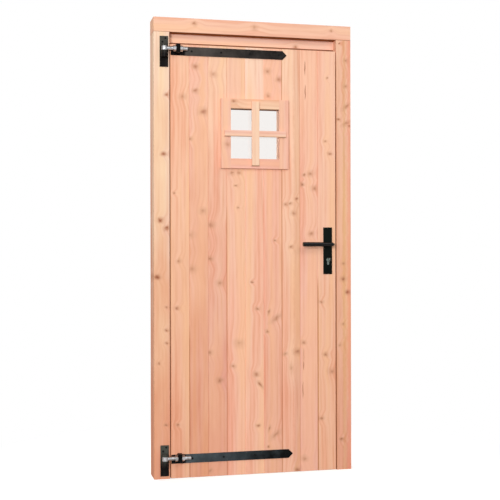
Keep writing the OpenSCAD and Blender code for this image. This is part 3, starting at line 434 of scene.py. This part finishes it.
windowLooks = {
    "window_stile_left": {
        "high": "#f7c6b0", "low": "#f2b6a1", "seed": 21,
        "knots": [(-130, 1526, 11, 0.36)],
    },
    "window_stile_right": {"high": "#f8c8b2", "low": "#f4b99f", "seed": 22},
    "window_rail_top": {
        "high": "#f8d3b4", "low": "#f2bf9f", "seed": 23, "lean": 90,
        "paintedUnder": [(1692.4, 0.6, 1)],
        "knots": [(-100, 1724, 7, 0.18)],
    },
    "window_rail_bottom": {"high": "#f7bfad", "low": "#f2b69f", "seed": 24, "lean": 90},
    "upright_bar": {
        "high": "#fad7bb", "low": "#f8c3a7", "seed": 25,
        "paintedUnder": [(1428.8, 0.6, 4)],
    },
    "cross_bar": {
        "high": "#f9cfbc", "low": "#f4c3ac", "seed": 26, "lean": 90,
        "paintedUnder": [(1563.1, 0.5, 4)],
    },
    "inner_stile_left": {
        "high": "#f6bf9f", "low": "#f0b090", "seed": 27,
        "knots": [(-140, 1640, 7, 0.1)],
    },
    "inner_stile_right": {"high": "#f6bf9f", "low": "#f0b090", "seed": 28},
    "inner_rail_top": {
        "high": "#f6bf9f", "low": "#f0b090", "seed": 29, "lean": 90,
        "paintedUnder": [(1692.4, 0.75, 2)],
    },
    "inner_rail_bottom": {
        "high": "#f6bf9f", "low": "#f0b090", "seed": 30, "lean": 90,
        "knots": [(60, 1440, 7, 0.1)],
    },
}

ledgeLooks = {
    "hinge_stile": {
        "high": "#f9c4a4", "low": "#e8ac8c", "seed": 31,
        "knots": [(-360, 1490, 9, 0.05), (-345, 620, 8, 0.1)],
    },
    "lock_stile": {
        "high": "#f9c4a4", "low": "#e8ac8c", "seed": 32,
        "knots": [(352, 1590, 8, 0.1), (368, 480, 9, 0.05)],
    },
    "top_rail": {
        "high": "#f9c6a6", "low": "#f0b090", "seed": 33, "lean": 90,
        "knots": [(-180, 1890, 9, 0.05), (190, 1910, 7, 0.1)],
    },
    "middle_rail": {
        "high": "#f6be9e", "low": "#eeb090", "seed": 34, "lean": 90,
        "knots": [(-150, 1130, 9, 0.05), (120, 1100, 8, 0.1)],
    },
    "bottom_rail": {
        "high": "#f6be9e", "low": "#e8ac8c", "seed": 35, "lean": 90,
        "knots": [(60, 180, 9, 0.05)],
    },
    "brace": {
        "high": "#f8c2a2", "low": "#e8ac8c", "seed": 36, "lean": 39.5,
        "knots": [(40, 680, 10, 0.05), (-140, 440, 8, 0.1)],
    },
}

for stage, looks in (("boards", boardLooks), ("frame", frameLooks),
                     ("window wood", windowLooks), ("back of the leaf", ledgeLooks)):
    for name, look in looks.items():
        dress(douglasFir(name, look), name)
    print(stage, "dressed")


# Black powder-coated steel: a baked plastic skin with a slight orange peel, greyer where it is
# worn, and on straps and plates painted lighter and darker where light and shade fall along them
blackSteel = {
    "peelMm": 3.5,             # real peel is about 1 mm, drawn coarser so that it shows
    "peelBumpMm": 0.3,
    "peelStrength": 0.25,
    "cloudMm": 60,
    "wearCloud": (0.35, 0.75),  # the clouds' range from clean to worn
    "cloudShare": 0.5,          # of the clouds where painted light and shade run along an axis
    "alongLightAndShade": (0.75, -0.25),  # painted light added at the start of that axis, painted shade at its end
    "shadowFadeMm": 8,
    "roughCloud": (0.3, 0.7),
    "roughness": (0.3, 0.42),
}


# along is an axis with the places in metres of the most painted light and of the most painted
# shade;
# a painted shadow keeps the coat black up to an X in metres; roughness is only given where it
# differs
def powderCoat(name, coat):
    material, tree, shader = newMaterial(name)
    place = addNode(tree, "ShaderNodeTexCoord").outputs["Object"]
    cloud = addNode(tree, "ShaderNodeTexNoise",
                    {"Scale": mmPerM / blackSteel["cloudMm"], "Detail": 4, "Roughness": 0.65},
                    {"Vector": place}).outputs[0]
    peel = addNode(tree, "ShaderNodeTexNoise",
                   {"Scale": mmPerM / blackSteel["peelMm"], "Detail": 1},
                   {"Vector": place}).outputs[0]
    cleanAndShaded, wornAndLit = blackSteel["wearCloud"]
    wearAndPaintedLight = addNode(tree, "ShaderNodeMapRange", {"From Min": cleanAndShaded, "From Max": wornAndLit},
                   {"Value": cloud}).outputs[0]
    # painted light at the start of an axis and painted shade at its end, over the wear clouds
    if "along" in coat:
        axis, start, end = coat["along"]
        most, least = blackSteel["alongLightAndShade"]
        reach = addNode(tree, "ShaderNodeSeparateXYZ", links={0: place}).outputs[axis]
        reach = addNode(tree, "ShaderNodeMapRange",
                        {"From Min": start, "From Max": end, "To Min": most, "To Max": least},
                        {"Value": reach}).outputs[0]
        wearAndPaintedLight = addNode(tree, "ShaderNodeMath",
                       {"operation": "MULTIPLY_ADD", 1: blackSteel["cloudShare"],
                        "use_clamp": True}, {0: wearAndPaintedLight, 2: reach}).outputs[0]
    # painted shadow under the eye bolt's rod and nuts: the coat stays black up to this X
    if "shadowUpTo" in coat:
        fade = coat["shadowUpTo"] - blackSteel["shadowFadeMm"] / mmPerM
        side = addNode(tree, "ShaderNodeSeparateXYZ", links={0: place}).outputs["X"]
        outsideShadow = addNode(tree, "ShaderNodeMapRange",
                       {"From Min": fade, "From Max": coat["shadowUpTo"]},
                       {"Value": side}).outputs[0]
        wearAndPaintedLight = addNode(tree, "ShaderNodeMath", {"operation": "MULTIPLY"},
                       {0: wearAndPaintedLight, 1: outsideShadow}).outputs[0]
    tint = addNode(tree, "ShaderNodeMix",
                   {"data_type": "RGBA", 6: hexColor(coat["cleanAndShaded"]), 7: hexColor(coat["wornAndLit"])},
                   {0: wearAndPaintedLight}).outputs[2]
    smooth, dull = coat.get("roughness", blackSteel["roughness"])
    low, high = blackSteel["roughCloud"]
    rough = addNode(tree, "ShaderNodeMapRange",
                    {"From Min": low, "From Max": high, "To Min": smooth, "To Max": dull},
                    {"Value": cloud}).outputs[0]
    bump = addNode(tree, "ShaderNodeBump",
                   {"Strength": blackSteel["peelStrength"],
                    "Distance": blackSteel["peelBumpMm"] / mmPerM}, {"Height": peel}).outputs[0]
    tree.links.new(tint, shader.inputs["Base Color"])
    tree.links.new(rough, shader.inputs["Roughness"])
    tree.links.new(bump, shader.inputs["Normal"])
    shader.inputs["Specular IOR Level"].default_value = coat["sheen"]
    return material


# painted sheen at the straps' hinge ends and painted light above the plates' eyes, painted shade
# beyond
upperStrapCoat = {"cleanAndShaded": "#080606", "wornAndLit": "#514b47", "sheen": 0.05,
                  "along": ("X", -0.32, 0.2), "shadowUpTo": -0.322}
lowerStrapCoat = {"cleanAndShaded": "#080a0b", "wornAndLit": "#4b5357", "sheen": 0.05,
                  "along": ("X", -0.32, 0.2), "shadowUpTo": -0.322}
upperPlateCoat = {"cleanAndShaded": "#0e0a09", "wornAndLit": "#4b4943", "sheen": 0.06, "along": ("Z", 1.99, 1.92)}
lowerPlateCoat = {"cleanAndShaded": "#0e090a", "wornAndLit": "#4d4e47", "sheen": 0.06, "along": ("Z", 0.13, 0.06)}
handleCoat = {"cleanAndShaded": "#050a08", "wornAndLit": "#0c1411", "sheen": 0.045}
leverCoat = {"cleanAndShaded": "#060404", "wornAndLit": "#0c0909", "sheen": 0.14, "roughness": (0.07, 0.1)}
screwCoat = {"cleanAndShaded": "#050505", "wornAndLit": "#0c0c0c", "sheen": 0.08}
dress(powderCoat("powder_coated_strap_upper", upperStrapCoat), "upper_strap")
dress(powderCoat("powder_coated_strap_lower", lowerStrapCoat), "lower_strap")
dress(powderCoat("powder_coated_plate_upper", upperPlateCoat),
      "upper_hinge_plate", "upper_hinge_pin")
dress(powderCoat("powder_coated_plate_lower", lowerPlateCoat),
      "lower_hinge_plate", "lower_hinge_pin")
dress(powderCoat("powder_coated_zamak", handleCoat), "outside_plate", "inside_plate")
dress(powderCoat("satin_black_lever", leverCoat), "outside_lever", "inside_lever")
dress(powderCoat("black_oxide_screw", screwCoat),
      "hinge_plate_screws", "strap_screws", "plate_screws")
print("black steel dressed")


# Bright zinc-plated steel: cool grey metal with a cloudy passivated bloom
zincPlate = {"bright": "#b2b4b8", "bloom": "#726f6b", "cloudMm": 14, "roughness": (0.26, 0.4)}
# Satin nickel: a darker, duller silver with finer clouds
nickelPlate = {"bright": "#7a847f", "bloom": "#555c58", "cloudMm": 3, "roughness": (0.25, 0.4)}
platedClouds = {"tint": (0.35, 0.7), "roughness": (0.3, 0.7)}  # range from bright to full bloom


def plated(name, plate):
    material, tree, shader = newMaterial(name)
    place = addNode(tree, "ShaderNodeTexCoord").outputs["Object"]
    cloud = addNode(tree, "ShaderNodeTexNoise",
                    {"Scale": mmPerM / plate["cloudMm"], "Detail": 4, "Roughness": 0.6},
                    {"Vector": place}).outputs[0]
    bright, bloom = platedClouds["tint"]
    tint = addNode(tree, "ShaderNodeValToRGB",
                   {"stops": [(bright, plate["bright"], 1), (bloom, plate["bloom"], 1)]},
                   {0: cloud}).outputs[0]
    low, high = platedClouds["roughness"]
    smooth, dull = plate["roughness"]
    rough = addNode(tree, "ShaderNodeMapRange",
                    {"From Min": low, "From Max": high, "To Min": smooth, "To Max": dull},
                    {"Value": cloud}).outputs[0]
    tree.links.new(tint, shader.inputs["Base Color"])
    tree.links.new(rough, shader.inputs["Roughness"])
    shader.inputs["Metallic"].default_value = 1.0
    return material


dress(plated("zinc_plated_steel", zincPlate), "upper_eye_bolt", "lower_eye_bolt",
      "adjusting_nuts", "strike_plate", "strike_screws", "leaf_screws", "lock_case", "spindle")
dress(plated("satin_nickel", nickelPlate), "latch_bolt", "dead_bolt", "cylinder_body",
      "cylinder_plug", "key")
print("bright metal dressed")

# Float glass, 4 mm: clear, hardly tinted, with the faint ripple that bends a reflection
floatGlass = {"color": "#f4f0ed", "ior": 1.52, "rippleMm": 90, "rippleBumpMm": 1,
              "rippleStrength": 0.05}
glass, tree, shader = newMaterial("float_glass")
place = addNode(tree, "ShaderNodeTexCoord").outputs["Object"]
ripple = addNode(tree, "ShaderNodeTexNoise",
                 {"Scale": mmPerM / floatGlass["rippleMm"], "Detail": 1},
                 {"Vector": place}).outputs[0]
bump = addNode(tree, "ShaderNodeBump",
               {"Strength": floatGlass["rippleStrength"],
                "Distance": floatGlass["rippleBumpMm"] / mmPerM}, {"Height": ripple}).outputs[0]
tree.links.new(bump, shader.inputs["Normal"])
for socket, value in {"Base Color": hexColor(floatGlass["color"]), "Roughness": 0.0,
                      "IOR": floatGlass["ior"], "Transmission Weight": 1.0}.items():
    shader.inputs[socket].default_value = value
dress(glass, "glass_pane")

# Closed-cell foam tape: dull charcoal with fine cells
foamTape = {"cell": "#2f2f2e", "color": "#4a4a48", "cellMm": 1.5, "cellEdge": (0.1, 0.7),
            "roughness": 0.9}
foam, tree, shader = newMaterial("foam_tape")
place = addNode(tree, "ShaderNodeTexCoord").outputs["Object"]
cells = addNode(tree, "ShaderNodeTexVoronoi", {"Scale": mmPerM / foamTape["cellMm"]},
                {"Vector": place}).outputs[0]
inner, outer = foamTape["cellEdge"]
tint = addNode(tree, "ShaderNodeValToRGB",
               {"stops": [(inner, foamTape["cell"], 1), (outer, foamTape["color"], 1)]},
               {0: cells}).outputs[0]
tree.links.new(tint, shader.inputs["Base Color"])
shader.inputs["Roughness"].default_value = foamTape["roughness"]
dress(foam, "glazing_tape")
print("glass dressed")


# 1 where the camera, a reflection or the glass looks at the background, 0 where it only lights
def seenBy(tree, rays):
    seen = rays.outputs["Is Camera Ray"]
    for kind in ("Is Glossy Ray", "Is Transmission Ray"):
        seen = addNode(tree, "ShaderNodeMath", {"operation": "MAXIMUM"},
                       {0: seen, 1: rays.outputs[kind]}).outputs[0]
    return seen


# Floor: pale, with the door's soft shadow, fading to the white of the background
floorLook = {"halfWideM": 14, "color": "#f4f3f1", "roughness": 0.85,
             "bounce": "#54504c",  # what it throws back, so that the foot isn't lit from below
             "nearM": 0.6, "farM": 1.5,  # from the floor's own colour to white
             "lift": 0.5}  # share of its own light, which softens the shadow
floorMesh = bpy.data.meshes.new("floor")
bm = bmesh.new()
bmesh.ops.create_grid(bm, x_segments=1, y_segments=1, size=floorLook["halfWideM"])
bm.to_mesh(floorMesh)
bm.free()
floor = bpy.data.objects.new("floor", floorMesh)
bpy.context.scene.collection.objects.link(floor)
paint, tree, shader = newMaterial("pale_floor")
place = addNode(tree, "ShaderNodeTexCoord").outputs["Object"]
reach = addNode(tree, "ShaderNodeVectorMath", {"operation": "LENGTH"}, {0: place})
fade = addNode(tree, "ShaderNodeMapRange",
               {"interpolation_type": "SMOOTHSTEP", "From Min": floorLook["nearM"],
                "From Max": floorLook["farM"]}, {"Value": reach.outputs["Value"]}).outputs[0]
rays = addNode(tree, "ShaderNodeLightPath")
seen = seenBy(tree, rays)
part = addNode(tree, "ShaderNodeMath", {"operation": "MULTIPLY"}, {0: fade, 1: seen}).outputs[0]
paintColor = addNode(tree, "ShaderNodeMix",
                     {"data_type": "RGBA", 6: hexColor(floorLook["color"]),
                      7: hexColor(floorLook["bounce"])}, {0: rays.outputs["Is Diffuse Ray"]})
tree.links.new(paintColor.outputs[2], shader.inputs["Base Color"])
lift = addNode(tree, "ShaderNodeMath", {"operation": "MULTIPLY", 1: floorLook["lift"]}, {0: seen})
tree.links.new(lift.outputs[0], shader.inputs["Emission Strength"])
shader.inputs["Emission Color"].default_value = white
shader.inputs["Roughness"].default_value = floorLook["roughness"]
glow = addNode(tree, "ShaderNodeEmission", {"Color": white, "Strength": 1.0})
blend = addNode(tree, "ShaderNodeMixShader",
                links={0: part, 1: shader.outputs[0], 2: glow.outputs[0]})
tree.links.new(blend.outputs[0], tree.get_output_node("ALL").inputs["Surface"])
floorMesh.materials.append(paint)

# White room: white where it is looked at, softer where it lights the door
roomLight = {"strength": 0.42}
world = bpy.data.worlds.new("white_room")
world.use_nodes = True
bpy.context.scene.world = world
tree = world.node_tree
tree.nodes.clear()
seen = seenBy(tree, addNode(tree, "ShaderNodeLightPath"))
dim = addNode(tree, "ShaderNodeBackground", {"Color": white, "Strength": roomLight["strength"]})
clear = addNode(tree, "ShaderNodeBackground", {"Color": white, "Strength": 1.0})
blend = addNode(tree, "ShaderNodeMixShader",
                links={0: seen, 1: dim.outputs[0], 2: clear.outputs[0]})
addNode(tree, "ShaderNodeOutputWorld", links={0: blend.outputs[0]})

# Soft boxes: a large one in front to the left, a weak high one to the right and one behind,
# far off so that head and foot get the same light; sizes and places in metres, power in watts
softBoxes = {
    "key_box": {"at": (-3.8, -8.4, 2.3), "aim": (0, 0, 0.9), "size": 2.8, "power": 570},
    "top_box": {"at": (2.4, -7.0, 5.6), "aim": (0, 0, 1.0), "size": 2.4, "power": 112},
    "back_box": {"at": (-3.7, 8.3, 2.4), "aim": (0, 0, 1.0), "size": 3.0, "power": 430},
}
for name, box in softBoxes.items():
    lamp = bpy.data.lights.new(name, "AREA")
    lamp.shape = "SQUARE"
    lamp.size = box["size"]
    lamp.energy = box["power"]
    holder = bpy.data.objects.new(name, lamp)
    holder.location = box["at"]
    towards = Vector(box["aim"]) - Vector(box["at"])
    holder.rotation_euler = towards.to_track_quat("-Z", "Y").to_euler()
    bpy.context.scene.collection.objects.link(holder)
bpy.context.scene.view_settings.view_transform = "Standard"
print("light set")

# Camera at the photograph's place, level and a little left of the door
cameraPlace = {"at": (-1.0905, -4.5215, 1.0321), "yawDeg": 13.372, "pitchDeg": 0.098,
               "rollDeg": 0.12, "lensMm": 71.74, "sensorMm": 36}
view = bpy.data.cameras.new("camera")
view.sensor_width = cameraPlace["sensorMm"]
view.lens = cameraPlace["lensMm"]
camera = bpy.data.objects.new("camera", view)
camera.location = cameraPlace["at"]
turn = (90 + cameraPlace["pitchDeg"], cameraPlace["rollDeg"], -cameraPlace["yawDeg"])
camera.rotation_euler = [math.radians(angle) for angle in turn]
bpy.context.scene.collection.objects.link(camera)
bpy.context.scene.camera = camera
print("camera set")
